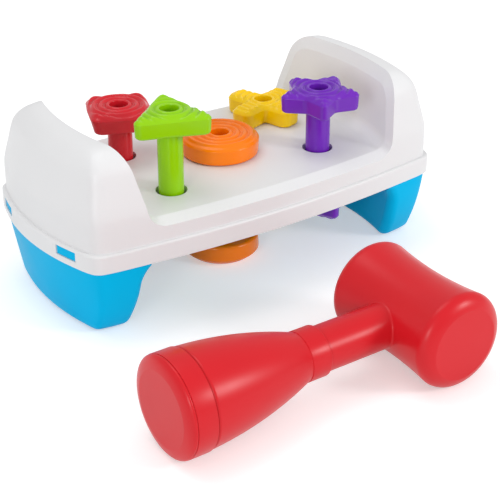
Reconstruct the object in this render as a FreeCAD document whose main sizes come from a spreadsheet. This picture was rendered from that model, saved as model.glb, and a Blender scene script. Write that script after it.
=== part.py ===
import FreeCAD, Part
import Sketcher
import os
from math import atan2, cos, hypot, pi, radians, sin, sqrt, tan

# Peg pounding bench: a white moulded top shell on a blue moulded base, five coloured
# double-headed pegs that are driven down through the deck, and a red hammer beside it.
# The bench turns over when the pegs are down, and the game starts again from the other side.
#
# Frame: millimetres, +Z up, +X along the bench, the hammer lies in front of it on -Y.
# Everything is worked out about the middle of the deck surface, and each piece's placement
# then moves it to the row's origin, on the floor below the middle of bench and hammer.

V = FreeCAD.Vector

# The driving sizes. Depths are measured down from the deck surface, heights up from it.
SIZES = {
    # the bench's outline, a rectangle with bowed ends and bowed long sides
    "bench_half_length": 132.0,
    "bench_half_width": 68.3,
    "end_bow": 11.25,
    "side_bow": 9.75,
    "corner_radius": 9.0,
    # the top shell: belt, ledge, leaning sides, crowned end walls
    "belt_depth": 23.2,
    "ledge_depth": 12.0,
    "ledge_width": 2.5,
    "belt_edge_radius": 1.2,
    "wall_height": 43.2,
    "crown_radius": 13.0,
    "lean_start": 3.0,
    "lean_blend": 8.0,
    "lean_degrees": 14.5,
    "shell_wall": 2.4,
    "belt_wall": 2.2,
    # the channel between the end walls, with the deck as its floor
    "channel_half_length": 95.9,
    "channel_draft_share": 0.106,
    "channel_fillet": 8.0,
    "bevel_on_deck": 7.5,
    "bevel_on_side": 3.2,
    # the base shell: rim inside the belt, skirt, two broad feet, arch between them
    "shoulder_inset": 1.7,
    "belt_clearance": 0.15,
    "rim_gap": 0.2,
    "foot_depth": 68.6,
    "end_draw_in": 8.0,
    "side_draw_in": 13.4,
    "foot_corner_radius": 3.5,
    "foot_rounding": 5.4,
    "arch_half_length": 100.5,
    "arch_roof_depth": 22.8,
    "arch_fillet": 15.0,
    "leg_edge_radius": 5.0,
    "tray_depth": 16.8,
    # four snap windows in the ends of the belt, and the base's tabs behind them
    "window_middle": 35.5,
    "window_width": 16.0,
    "window_top_depth": 13.6,
    "window_bottom_depth": 19.5,
    "tab_clearance": 0.25,
    "tab_recess": 0.7,
    # the pegs: two heads on one stem, and the rubber ring that grips it
    "peg_spacing_x": 53.4,
    "peg_spacing_y": 29.1,
    "stroke": 38.0,
    "seat_gap": 0.2,
    "stem_radius": 7.5,
    "deck_hole_radius": 9.4,
    "head_height": 13.2,
    "shoulder_radius": 3.0,
    "head_foot_radius": 2.0,
    "bore_radius": 5.6,
    "lip_radius": 6.5,
    "ripple_pitch": 4.45,
    "ripple_depth": 1.0,
    "ripple_drop": 0.05,
    "blind_depth": 10.0,
    "socket_depth": 12.0,
    "socket_clearance": 0.1,
    "web_thickness": 3.0,
    "ring_radius": 11.0,
    "ring_height": 8.0,
    "ring_clearance": 0.08,
    "ring_top_depth": 4.4,
    "ring_end_gap": 0.1,
    "stem_clearance": 0.05,
    "collar_radius": 13.5,
    "collar_gap": 0.2,
    "screw_head_radius": 3.4,
    "screw_head_height": 2.2,
    "screw_radius": 1.7,
    "screw_length": 12.0,
    "screw_clearance": 0.1,
    "screw_slot_width": 0.9,
    "screw_slot_depth": 1.2,
    # the outlines of the heads, each with the angle of its first corner
    "disc_radius": 24.2,
    "square_half": 17.6,
    "square_crest": 0.9,
    "square_side_radius": 60.0,
    "square_corner": 6.2,
    "square_turn": 22.4,
    "triangle_half": 13.9,
    "triangle_corner": 4.2,
    "triangle_turn": 69.0,
    "cross_reach": 24.2,
    "cross_arm": 7.4,
    "cross_notch": 10.8,
    "cross_tip": 5.4,
    "cross_valley": 2.4,
    "cross_turn": 17.0,
    "star_reach": 26.3,
    "star_notch": 15.3,
    "star_tip": 3.2,
    "star_valley": 6.8,
    "star_turn": -119.0,
    # where each peg stands in its stroke: 1 is fully up, 0 is driven home
    "red_rest_share": 0.553,
    "green_rest_share": 1.0,
    "orange_rest_share": 0.0,
    "yellow_rest_share": 0.0,
    "purple_rest_share": 0.703,
    # the hammer, with distances along the handle measured from the head's axis
    "hammer_x": 16.8,
    "hammer_y": 166.2,
    "hammer_head_radius": 28.0,
    "hammer_head_half": 41.4,
    "hammer_head_rounding": 7.5,
    "hammer_face_length": 14.0,
    "hammer_waist_radius": 25.7,
    "hammer_wall": 3.0,
    "hammer_socket_start": 12.0,
    "hammer_boss_wall": 3.0,
    "shaft_radius": 12.8,
    "shaft_clearance": 0.1,
    "shaft_collar_start": 67.7,
    "shaft_collar_radius": 14.3,
    "shaft_tang_radius": 8.0,
    "shaft_tang_length": 14.0,
    "grip_start": 79.3,
    "grip_start_radius": 13.8,
    "grip_middle": 110.0,
    "grip_middle_radius": 22.7,
    "grip_end_radius": 27.5,
    "band_start": 147.6,
    "band_end": 159.1,
    "band_radius": 28.0,
    "cap_height": 4.3,
    "cap_face_radius": 20.8,
    "cap_plug_length": 5.0,
    # how far a cutting tool reaches past the material, and how near counts as touching
    "overrun": 2.0,
    "touch_tolerance": 0.05,
}

# steps round a quarter of the outline, and the levels of the lofted forms
END_STEPS = 5
CORNER_STEPS = 4
SIDE_STEPS = 6
WALL_LEVELS = 4
BLEND_LEVELS = 3
LEAN_LEVELS = 3
CROWN_LEVELS = 8
SKIRT_LEVEL_SHARES = (0.0, 0.12, 0.24, 0.36, 0.48, 0.6, 0.7, 0.79, 0.87, 0.94, 1.0)
FOOT_LEVELS = 6
LOFT_DEGREE = 5
RIPPLE_COUNT = 3

# the pegs: colour, outline, and which corner of the deck they stand in
PEGS = (
    ("red", "square", -1, 1),
    ("green", "triangle", -1, -1),
    ("orange", "disc", 0, 0),
    ("yellow", "cross", 1, 1),
    ("purple", "star", 1, -1),
)

# the row's origin seen from the deck middle, as expressions on the sizes
FRAME_X = ("-(max(Sizes.bench_half_length; Sizes.hammer_x + Sizes.hammer_head_radius)"
           " + min(-Sizes.bench_half_length;"
           " Sizes.hammer_x - Sizes.band_end - Sizes.cap_height)) / 2")
FRAME_Y = "(Sizes.hammer_y + Sizes.hammer_head_half - Sizes.bench_half_width) / 2"
FRAME_Z = "Sizes.foot_depth"
STEM_LENGTH = "(Sizes.stroke + Sizes.tray_depth + 2 * Sizes.seat_gap)"
HAMMER_AXIS = "max(Sizes.hammer_head_radius; Sizes.band_radius)"

doc = FreeCAD.newDocument("PoundingBench")
sheet = doc.addObject("Spreadsheet::Sheet", "Sizes")
for row, (name, value) in enumerate(SIZES.items(), start=1):
    sheet.set("A%d" % row, name)
    sheet.set("B%d" % row, str(value))
    sheet.setAlias("B%d" % row, name)
doc.recompute()


class Sheet:
    """Reads a size back from the spreadsheet by its alias."""

    def __getattr__(self, name):
        return float(getattr(sheet, name))


size = Sheet()


def bind(thing, **rules):
    """Ties properties to sizes; a double underscore stands for the dot in a path."""
    for path, rule in rules.items():
        thing.setExpression(path.replace("__", "."), rule)
    return thing


def place(thing, x="0", y="0", z="0"):
    """Moves a finished piece from the deck's middle to the row's frame."""
    return bind(thing,
                Placement__Base__x="%s + %s" % (FRAME_X, x),
                Placement__Base__y="%s + %s" % (FRAME_Y, y),
                Placement__Base__z="%s + %s" % (FRAME_Z, z))


def cylinder(name, radius, height, z, x="0", y="0"):
    """An upright cylinder whose foot stands at height z."""
    thing = doc.addObject("Part::Cylinder", name)
    return bind(thing, Radius=radius, Height=height,
                Placement__Base__x=x, Placement__Base__y=y, Placement__Base__z=z)


def boolean(kind, name, **inputs):
    thing = doc.addObject("Part::" + kind, name)
    for key, value in inputs.items():
        setattr(thing, key, value)
    return thing


# The moulded shells

def end_arc_radius():
    chord = size.bench_half_width - size.side_bow
    return (chord ** 2 + size.end_bow ** 2) / (2 * size.end_bow)


def side_arc_radius():
    chord = size.bench_half_length - size.end_bow
    return (chord ** 2 + size.side_bow ** 2) / (2 * size.side_bow)


def outline(z, inset_x, inset_y, corner):
    """The closed bowed rectangle at height z, drawn in from the full outline."""
    end_radius = end_arc_radius()
    side_radius = side_arc_radius()
    end_centre = size.bench_half_length - inset_x - end_radius
    side_centre = size.bench_half_width - inset_y - side_radius
    # the corner arc touches both bows from inside
    to_end = end_radius - corner
    to_side = side_radius - corner
    apart = hypot(end_centre, side_centre)
    along = (to_end ** 2 - to_side ** 2 + apart ** 2) / (2 * apart)
    across = sqrt(to_end ** 2 - along ** 2)
    ux = -end_centre / apart
    uy = side_centre / apart
    both = [(end_centre + ux * along - side * across * uy, uy * along + side * across * ux)
            for side in (1, -1)]
    corner_x, corner_y = max(both, key=sum)
    end_angle = atan2(corner_y, corner_x - end_centre)
    side_angle = atan2(corner_y - side_centre, corner_x)
    quarter = []
    for step in range(END_STEPS):
        turn = end_angle * step / END_STEPS
        quarter.append((end_centre + end_radius * cos(turn), end_radius * sin(turn)))
    for step in range(CORNER_STEPS + 1):
        turn = end_angle + (side_angle - end_angle) * step / CORNER_STEPS
        quarter.append((corner_x + corner * cos(turn), corner_y + corner * sin(turn)))
    for step in range(1, SIDE_STEPS + 1):
        turn = side_angle + (pi / 2 - side_angle) * step / SIDE_STEPS
        quarter.append((side_radius * cos(turn), side_centre + side_radius * sin(turn)))
    back = quarter[::-1]
    loop = back + [(x, -y) for x, y in quarter[1:]]
    loop += [(-x, -y) for x, y in back[1:]] + [(-x, y) for x, y in quarter[1:-1]]
    curve = Part.BSplineCurve()
    curve.interpolate([V(x, y, z) for x, y in loop], PeriodicFlag=True)
    return Part.Wire(curve.toShape())


def slab(inset, bottom, top):
    """A plate with the bench's outline, between two heights."""
    face = Part.Face(outline(bottom, inset, inset, size.corner_radius))
    return face.extrude(V(0, 0, top - bottom))


def lean_inset(z):
    """How far the walls have leaned in at height z."""
    slope = tan(radians(size.lean_degrees))
    rise = z - size.lean_start
    if rise <= 0:
        return 0.0
    if rise < size.lean_blend:
        return slope * rise ** 2 / (2 * size.lean_blend)
    return slope * (rise - size.lean_blend / 2)


def upper_section(z, depth_in):
    """The top shell's section at height z, a skin's depth inside the outer face."""
    radius = size.crown_radius - depth_in
    above = max(z - size.wall_height + size.crown_radius, 0)
    rounding = radius - sqrt(max(radius ** 2 - above ** 2, 0))
    inset = size.ledge_width + depth_in + lean_inset(z) + rounding
    return outline(z, inset, inset, size.corner_radius)


def channel(grow):
    """The open space between the end walls, grown all round by a skin."""
    reach = size.bench_half_width + size.overrun
    rise = size.wall_height + size.overrun

    def section(half_length, z):
        middle = half_length - end_arc_radius()
        x = middle + sqrt(end_arc_radius() ** 2 - reach ** 2)
        right = Part.Arc(V(x, -reach, z), V(half_length, 0, z), V(x, reach, z)).toShape()
        back = Part.makeLine(V(x, reach, z), V(-x, reach, z))
        left = Part.Arc(V(-x, reach, z), V(-half_length, 0, z), V(-x, -reach, z)).toShape()
        front = Part.makeLine(V(-x, -reach, z), V(x, -reach, z))
        return Part.Wire([right, back, left, front])

    low = size.channel_half_length + grow
    high = low + size.channel_draft_share * (rise + grow)
    block = Part.makeLoft([section(low, -grow), section(high, rise)], True, True)
    return block.makeFillet(size.channel_fillet + grow, end_edges(block, -grow))


def flat_edges(shape, level):
    """The edges that lie flat at one level."""
    found = []
    for edge in shape.Edges:
        box = edge.BoundBox
        if box.ZLength < size.touch_tolerance and abs(box.Center.z - level) < size.touch_tolerance:
            found.append(edge)
    return found


def end_edges(block, level):
    """The two bowed edges of a channel block at one level, without its straight ones."""
    flat = flat_edges(block, level)
    return [edge for edge in flat if edge.BoundBox.XLength < edge.BoundBox.YLength]


def mouth_edges(body, cutter):
    """The edges where the cutter's faces leave the body."""
    skin = cutter.Shells[0]
    from_cutter = {}
    for face in body.Faces:
        u0, u1, v0, v1 = face.ParameterRange
        middle = Part.Vertex(face.valueAt((u0 + u1) / 2, (v0 + v1) / 2))
        from_cutter[face.hashCode()] = middle.distToShape(skin)[0] < size.touch_tolerance
    found = []
    for edge in body.Edges:
        sides = [from_cutter[face.hashCode()] for face in body.ancestorsOfType(edge, Part.Face)]
        if len(sides) == 2 and sides[0] != sides[1]:
            found.append(edge)
    return found


def between(start, end, steps):
    """Evenly spaced values from start up to, but without, the end."""
    return [start + (end - start) * step / steps for step in range(steps)]


def smooth_loft(sections):
    return Part.makeLoft(sections, True, False, False, LOFT_DEGREE)


def upper_form(depth_in, bottom):
    """The top shell's outer form, or its hollow when a skin's depth inside."""
    crown = size.crown_radius - depth_in
    crown_start = size.wall_height - size.crown_radius
    lean_top = size.lean_start + size.lean_blend
    levels = between(bottom, size.lean_start, WALL_LEVELS)
    levels += between(size.lean_start, lean_top, BLEND_LEVELS)
    levels += between(lean_top, crown_start, LEAN_LEVELS)
    levels += [crown_start + crown * sin(turn) for turn in between(0, pi / 2, CROWN_LEVELS)]
    levels.append(crown_start + crown)
    block = smooth_loft([upper_section(z, depth_in) for z in levels])
    cutter = channel(depth_in)
    carved = block.cut(cutter)
    edges = mouth_edges(carved, cutter)
    return carved.makeChamfer(size.bevel_on_side, size.bevel_on_deck, edges)


def window_blocks(clearance):
    """Four blocks across the ends of the belt, as large as the windows or as the tabs."""
    across = 2 * size.end_bow
    wide = size.window_width - 2 * clearance
    high = size.window_bottom_depth - size.window_top_depth - 2 * clearance
    blocks = []
    for start in (-size.bench_half_length - size.overrun,
                  size.bench_half_length + size.overrun - across):
        for middle in (-size.window_middle, size.window_middle):
            corner = V(start, middle - wide / 2, -size.window_bottom_depth + clearance)
            blocks.append(Part.makeBox(across, wide, high, corner))
    return blocks[0].fuse(blocks[1:])


def top_form():
    """The hollow top shell with its snap windows, but without its peg holes."""
    step = size.ledge_depth + size.belt_wall
    belt = slab(0.0, -size.belt_depth, -size.ledge_depth)
    belt = belt.makeFillet(size.belt_edge_radius, flat_edges(belt, -size.ledge_depth))
    outer = upper_form(0.0, -size.ledge_depth).fuse(belt)
    hollow = upper_form(size.shell_wall, -step)
    recess = slab(size.belt_wall, -size.belt_depth - size.overrun, -step)
    return outer.cut(hollow).cut(recess).cut(window_blocks(0.0))


def rim_inset():
    """How far the base's rim stands inside the belt's outer face."""
    return size.belt_wall + size.belt_clearance


def lower_section(z, depth_in):
    """The base's section at height z, below the belt."""
    share = (-size.belt_depth - z) / (size.foot_depth - size.belt_depth)
    radius = size.foot_rounding - depth_in
    below = max(size.foot_rounding - size.foot_depth - z, 0)
    inset = size.shoulder_inset + depth_in + radius - sqrt(max(radius ** 2 - below ** 2, 0))
    corner = size.corner_radius + (size.foot_corner_radius - size.corner_radius) * share
    return outline(z, inset + size.end_draw_in * share, inset + size.side_draw_in * share ** 2,
                   corner)


def arch(grow, roof):
    """The space between the feet, up to the given roof, grown by a skin."""
    reach = size.bench_half_width + size.overrun
    floor = -size.foot_depth - size.overrun
    half_length = size.arch_half_length + grow
    middle = half_length - end_arc_radius()
    x = middle + sqrt(end_arc_radius() ** 2 - reach ** 2)
    right = Part.Arc(V(x, -reach, floor), V(half_length, 0, floor), V(x, reach, floor)).toShape()
    back = Part.makeLine(V(x, reach, floor), V(-x, reach, floor))
    left = Part.Arc(V(-x, reach, floor), V(-half_length, 0, floor), V(-x, -reach, floor)).toShape()
    front = Part.makeLine(V(-x, -reach, floor), V(x, -reach, floor))
    block = Part.Face(Part.Wire([right, back, left, front])).extrude(V(0, 0, roof - floor))
    return block.makeFillet(size.arch_fillet + grow, end_edges(block, roof))


def lower_form(depth_in, roof, rim_top):
    """The base's outer form with its rim, or its hollow when a skin's depth inside."""
    floor = -size.foot_depth + depth_in
    radius = size.foot_rounding - depth_in
    start = -size.belt_depth
    levels = [start + (floor + radius - start) * share for share in SKIRT_LEVEL_SHARES]
    levels += [floor + radius * (1 - cos(turn)) for turn in between(0, pi / 2, FOOT_LEVELS)][::-1]
    skirt = smooth_loft([lower_section(z, depth_in) for z in levels])
    cutter = arch(depth_in, roof)
    carved = skirt.cut(cutter)
    edges = mouth_edges(carved, cutter)
    carved = carved.makeFillet(size.leg_edge_radius - depth_in, edges)
    rim = slab(rim_inset() + depth_in, start, rim_top).cut(cutter)
    return carved.fuse(rim)


def base_form():
    """The hollow base shell without its peg holes and tabs."""
    rim_top = -size.ledge_depth - size.belt_wall - size.rim_gap
    plate_top = -size.tray_depth + size.shell_wall
    outer = lower_form(0.0, -size.arch_roof_depth, rim_top)
    hollow = lower_form(size.shell_wall, plate_top, rim_top + size.overrun)
    tray = arch(0.0, -size.tray_depth)
    inside = slab(rim_inset() + size.shell_wall, -size.arch_roof_depth - size.overrun,
                  -size.tray_depth)
    return outer.cut(hollow).cut(tray.common(inside))


def snap_tabs():
    """The tabs on the base's rim that fill the windows in the belt."""
    low = -size.window_bottom_depth
    high = -size.window_top_depth
    band = slab(size.tab_recess, low, high).cut(slab(rim_inset(), low, high))
    return band.common(window_blocks(size.tab_clearance))


def feature(name, shape):
    thing = doc.addObject("Part::Feature", name)
    thing.Shape = shape
    return thing


def peg_places():
    """Each peg's colour and its place on the deck as expressions."""
    for colour, _, side_x, side_y in PEGS:
        yield colour, "%d * Sizes.peg_spacing_x" % side_x, "%d * Sizes.peg_spacing_y" % side_y


def build_top_shell():
    """White top shell: collars under the deck, peg holes, ring seats, snap windows."""
    collars = []
    holes = []
    for colour, x, y in peg_places():
        collars.append(cylinder(
            colour + "_collar", "Sizes.collar_radius",
            "Sizes.ring_top_depth + Sizes.ring_height / 2 - Sizes.collar_gap / 2",
            "-Sizes.ring_top_depth - Sizes.ring_height / 2 + Sizes.collar_gap / 2", x, y))
        holes.append(cylinder(
            colour + "_deck_hole", "Sizes.deck_hole_radius",
            "Sizes.ring_top_depth + Sizes.ring_height + Sizes.overrun",
            "-Sizes.ring_top_depth - Sizes.ring_height", x, y))
        holes.append(cylinder(
            colour + "_ring_seat", "Sizes.ring_radius + Sizes.ring_clearance",
            "Sizes.ring_height + Sizes.ring_end_gap",
            "-Sizes.ring_top_depth - Sizes.ring_height", x, y))
    form = feature("top_form", top_form())
    body = boolean("MultiFuse", "top_body", Shapes=[form] + collars)
    cuts = boolean("MultiFuse", "top_cuts", Shapes=holes)
    return place(boolean("Cut", "top_shell", Base=body, Tool=cuts))


def build_base_shell():
    """Blue base shell: collars on the plate, peg holes, ring seats, snap tabs."""
    collars = []
    holes = []
    for colour, x, y in peg_places():
        collars.append(cylinder(
            colour + "_base_collar", "Sizes.collar_radius",
            ("Sizes.tray_depth - Sizes.ring_top_depth - Sizes.ring_height / 2"
             " - Sizes.collar_gap / 2"),
            "-Sizes.tray_depth", x, y))
        holes.append(cylinder(
            colour + "_base_hole", "Sizes.deck_hole_radius",
            "Sizes.tray_depth + Sizes.overrun", "-Sizes.tray_depth - Sizes.overrun", x, y))
        holes.append(cylinder(
            colour + "_base_seat", "Sizes.ring_radius + Sizes.ring_clearance",
            "Sizes.ring_top_depth + Sizes.ring_height + Sizes.ring_end_gap",
            "-Sizes.ring_top_depth - Sizes.ring_height - Sizes.ring_end_gap", x, y))
    tabs = feature("tabs", snap_tabs())
    form = feature("base_form", base_form())
    body = boolean("MultiFuse", "base_body", Shapes=[form, tabs] + collars)
    cuts = boolean("MultiFuse", "base_cuts", Shapes=holes)
    return place(boolean("Cut", "base_shell", Base=body, Tool=cuts))


# The pegs

def polar(radius, degrees):
    return radius * cos(radians(degrees)), radius * sin(radians(degrees))


def head_corners(shape, turn_sign):
    """The corner points of a head's outline, each with its rounding radius."""
    if shape == "square":
        corners = []
        for number in range(4):
            turn = turn_sign * (size.square_turn + 90 * number)
            corners.append((polar(size.square_half * sqrt(2), turn), size.square_corner))
            turn += turn_sign * 45
            crest = size.square_half + size.square_crest
            corners.append((polar(crest, turn), size.square_side_radius))
        return corners
    if shape == "triangle":
        return [(polar(size.triangle_half * 2, turn_sign * (size.triangle_turn + 120 * number)),
                 size.triangle_corner) for number in range(3)]
    if shape == "star":
        corners = []
        for number in range(5):
            turn = turn_sign * (size.star_turn + 72 * number)
            corners.append((polar(size.star_reach, turn), size.star_tip))
            corners.append((polar(size.star_notch, turn + turn_sign * 36), size.star_valley))
        return corners
    corners = []
    for number in range(4):
        turn = turn_sign * (size.cross_turn + 90 * number)
        for side in (-turn_sign, turn_sign):
            spread = side * atan2(size.cross_arm, size.cross_reach) * 180 / pi
            reach = hypot(size.cross_reach, size.cross_arm)
            corners.append((polar(reach, turn + spread), size.cross_tip))
        corners.append((polar(size.cross_notch, turn + turn_sign * 45), size.cross_valley))
    return corners


def draw_rounded(sketch, corners):
    """Draws the outline through the corners as tangent lines and arcs."""
    arcs = []
    count = len(corners)
    for number, ((x, y), radius) in enumerate(corners):
        here = V(x, y, 0)
        before = V(*corners[number - 1][0], 0) - here
        after = V(*corners[(number + 1) % count][0], 0) - here
        half_angle = before.getAngle(after) / 2
        reach = radius / tan(half_angle)
        before.normalize()
        after.normalize()
        middle = before + after
        middle.normalize()
        touch = here + middle * (radius / sin(half_angle) - radius)
        arcs.append((here + before * reach, touch, here + after * reach))
    for number, (start, touch, end) in enumerate(arcs):
        sketch.addGeometry(Part.Arc(start, touch, end))
        sketch.addGeometry(Part.LineSegment(end, arcs[(number + 1) % count][0]))


def plane_of(body, role):
    return [item for item in body.Origin.OriginFeatures if item.Role == role][0]


def sketch_on(body, name, role):
    sketch = body.newObject("Sketcher::SketchObject", name)
    sketch.AttachmentSupport = [(plane_of(body, role), "")]
    sketch.MapMode = "FlatFace"
    return sketch


def draw_circle(sketch, radius, start_value):
    """A circle about the origin, its radius bound to a size."""
    sketch.addGeometry(Part.Circle(V(0, 0, 0), V(0, 0, 1), start_value))
    sketch.addConstraint(Sketcher.Constraint("Coincident", 0, 3, -1, 1))
    sketch.addConstraint(Sketcher.Constraint("Radius", 0, start_value))
    sketch.setExpression("Constraints[1]", radius)


def edge_names(shape, level):
    """The names of the edges that lie flat at one level."""
    flat = [edge.hashCode() for edge in flat_edges(shape, level)]
    return ["Edge%d" % number for number, edge in enumerate(shape.Edges, start=1)
            if edge.hashCode() in flat]


def round_edges(body, base, level, radius):
    """Rounds all edges of the last feature that lie at one level."""
    fillet = body.newObject("PartDesign::Fillet", "rounding")
    fillet.Base = (base, edge_names(base.Shape, level))
    bind(fillet, Radius=radius)
    doc.recompute()
    return fillet


def draw_ripples(sketch):
    """Rings of grooves between the hole's lip and the last crest."""
    crest_level = size.head_height - size.ripple_drop
    edge = size.lip_radius + size.ripple_pitch * RIPPLE_COUNT
    above = size.head_height + size.overrun
    corners = [V(edge, above, 0), V(size.lip_radius, above, 0)]
    for number in range(RIPPLE_COUNT):
        crest = size.lip_radius + size.ripple_pitch * number
        corners.append(V(crest, crest_level, 0))
        corners.append(V(crest + size.ripple_pitch / 2, crest_level - size.ripple_depth, 0))
    corners.append(V(edge, crest_level, 0))
    for start, end in zip(corners, corners[1:] + corners[:1]):
        sketch.addGeometry(Part.LineSegment(start, end))


def peg_cylinder(body, kind, radius, height, z):
    """Adds to or cuts from the peg a cylinder about its axis, its foot at height z."""
    thing = body.newObject("PartDesign::" + kind, kind)
    bind(thing, Radius=radius, Height=height, Placement__Base__z=z)
    doc.recompute()
    return thing


def add_head(body, shape, turn_sign):
    """One rippled head, standing on the body's base plane with its waves on top."""
    sketch = sketch_on(body, "head_outline", "XY_Plane")
    if shape == "disc":
        draw_circle(sketch, "Sizes.disc_radius", size.disc_radius)
    else:
        draw_rounded(sketch, head_corners(shape, turn_sign))
    pad = body.newObject("PartDesign::Pad", "head")
    pad.Profile = sketch
    bind(pad, Length="Sizes.head_height")
    doc.recompute()
    shoulder = round_edges(body, pad, size.head_height, "Sizes.shoulder_radius")
    round_edges(body, shoulder, 0, "Sizes.head_foot_radius")
    waves = sketch_on(body, "ripple_section", "XZ_Plane")
    draw_ripples(waves)
    groove = body.newObject("PartDesign::Groove", "ripples")
    groove.Profile = waves
    groove.ReferenceAxis = (waves, ["V_Axis"])
    doc.recompute()


def build_peg_top(colour, shape, x, y, rest):
    """Upper head and hollow stem in one, with a web near its foot for the screw."""
    body = doc.addObject("PartDesign::Body", colour + "_peg_top")
    add_head(body, shape, 1)
    peg_cylinder(body, "AdditiveCylinder", "Sizes.stem_radius", STEM_LENGTH, "-" + STEM_LENGTH)
    web_top = "(Sizes.socket_depth + Sizes.web_thickness - %s)" % STEM_LENGTH
    peg_cylinder(body, "SubtractiveCylinder", "Sizes.bore_radius",
                 "Sizes.head_height + Sizes.overrun - " + web_top, web_top)
    peg_cylinder(body, "SubtractiveCylinder", "Sizes.bore_radius",
                 "Sizes.socket_depth + Sizes.overrun", "-%s - Sizes.overrun" % STEM_LENGTH)
    peg_cylinder(body, "SubtractiveCylinder", "Sizes.screw_radius + Sizes.screw_clearance",
                 "Sizes.web_thickness + Sizes.overrun", "%s - Sizes.web_thickness" % web_top)
    return place(body, x, y, rest + " + Sizes.seat_gap")


def build_peg_bottom(colour, shape, x, y, rest):
    """Lower head, turned over, with a spigot that fills the stem's socket."""
    body = doc.addObject("PartDesign::Body", colour + "_peg_bottom")
    add_head(body, shape, -1)
    spigot = "(Sizes.socket_depth - Sizes.socket_clearance)"
    peg_cylinder(body, "AdditiveCylinder", "Sizes.bore_radius - Sizes.socket_clearance",
                 spigot, "-" + spigot)
    peg_cylinder(body, "SubtractiveCylinder", "Sizes.screw_radius + Sizes.screw_clearance / 2",
                 "Sizes.screw_length - Sizes.web_thickness + Sizes.screw_clearance", "-" + spigot)
    peg_cylinder(body, "SubtractiveCylinder", "Sizes.bore_radius",
                 "Sizes.blind_depth + Sizes.overrun", "Sizes.head_height - Sizes.blind_depth")
    body.Placement = FreeCAD.Placement(V(0, 0, 0), FreeCAD.Rotation(V(1, 0, 0), 180))
    return place(body, x, y, "%s + Sizes.seat_gap - %s" % (rest, STEM_LENGTH))


def screw_slot(colour, length, width):
    """One bar of the cross that is cut into a screw's head."""
    slot = doc.addObject("Part::Box", colour + "_screw_slot")
    return bind(slot, Length=length, Width=width,
                Height="Sizes.screw_slot_depth + Sizes.overrun",
                Placement__Base__x="-%s / 2" % length, Placement__Base__y="-%s / 2" % width,
                Placement__Base__z="Sizes.screw_head_height - Sizes.screw_slot_depth")


def build_peg_screw(colour, x, y, rest):
    """Pan head screw down the stem, through the web into the spigot."""
    head = cylinder(colour + "_screw_head", "Sizes.screw_head_radius",
                    "Sizes.screw_head_height", "0")
    shank = cylinder(colour + "_screw_shank", "Sizes.screw_radius",
                     "Sizes.screw_length", "-Sizes.screw_length")
    solid = boolean("MultiFuse", colour + "_screw_body", Shapes=[head, shank])
    slots = [screw_slot(colour, "Sizes.screw_head_radius", "Sizes.screw_slot_width"),
             screw_slot(colour, "Sizes.screw_slot_width", "Sizes.screw_head_radius")]
    cross = boolean("MultiFuse", colour + "_screw_cross", Shapes=slots)
    screw = boolean("Cut", colour + "_peg_screw", Base=solid, Tool=cross)
    seat = "Sizes.seat_gap + Sizes.socket_depth + Sizes.web_thickness - " + STEM_LENGTH
    return place(screw, x, y, "%s + %s" % (rest, seat))


def build_grip_ring(colour, x, y):
    """Rubber ring between the two shells that holds the stem by friction."""
    outer = cylinder(colour + "_ring_outside", "Sizes.ring_radius", "Sizes.ring_height", "0")
    inner = cylinder(colour + "_ring_bore", "Sizes.stem_radius + Sizes.stem_clearance",
                     "Sizes.ring_height + 2 * Sizes.overrun", "-Sizes.overrun")
    ring = boolean("Cut", colour + "_grip_ring", Base=outer, Tool=inner)
    return place(ring, x, y, "-Sizes.ring_top_depth - Sizes.ring_height")


def build_pegs():
    pieces = []
    for (colour, shape, _, _), (_, x, y) in zip(PEGS, peg_places()):
        rest = "Sizes.stroke * Sizes.%s_rest_share" % colour
        pieces.append(build_peg_top(colour, shape, x, y, rest))
        pieces.append(build_peg_bottom(colour, shape, x, y, rest))
        pieces.append(build_peg_screw(colour, x, y, rest))
        pieces.append(build_grip_ring(colour, x, y))
    return pieces


# The hammer

def chain(sketch, start, *steps):
    """Draws a closed profile: each step is an end point, or a middle and an end point."""
    here = V(*start, 0)
    for step in steps:
        if len(step) == 2:
            end = V(*step, 0)
            sketch.addGeometry(Part.LineSegment(here, end))
        else:
            middle = V(step[0], step[1], 0)
            end = V(step[2], step[3], 0)
            sketch.addGeometry(Part.Arc(here, middle, end))
        here = end
    sketch.addGeometry(Part.LineSegment(here, V(*start, 0)))


def turned(body, name, kind, axis, start, *steps):
    """Revolves a profile in the body's flat plane about one of its axes."""
    sketch = sketch_on(body, name + "_profile", "XY_Plane")
    chain(sketch, start, *steps)
    thing = body.newObject("PartDesign::" + kind, name)
    thing.Profile = sketch
    thing.ReferenceAxis = (sketch, [axis])
    doc.recompute()
    return thing


def place_hammer(body):
    return place(body, "Sizes.hammer_x", "-Sizes.hammer_y", "%s - Sizes.foot_depth" % HAMMER_AXIS)


def head_profile(skin):
    """Half of the hammer head's section, a skin's depth inside the outer face."""
    half = size.hammer_head_half - skin
    radius = size.hammer_head_radius - skin
    waist = size.hammer_waist_radius - skin
    rounding = size.hammer_head_rounding - skin
    face = size.hammer_head_half - size.hammer_face_length
    diagonal = rounding * sqrt(2) / 2
    middle_x = radius - rounding + diagonal
    middle_y = half - rounding + diagonal
    return [(0, -half),
            (radius - rounding, -half),
            (middle_x, -middle_y, radius, -half + rounding),
            (radius, -face),
            (waist, 0, radius, face),
            (radius, half - rounding),
            (middle_x, middle_y, radius - rounding, half),
            (0, half)]


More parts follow.
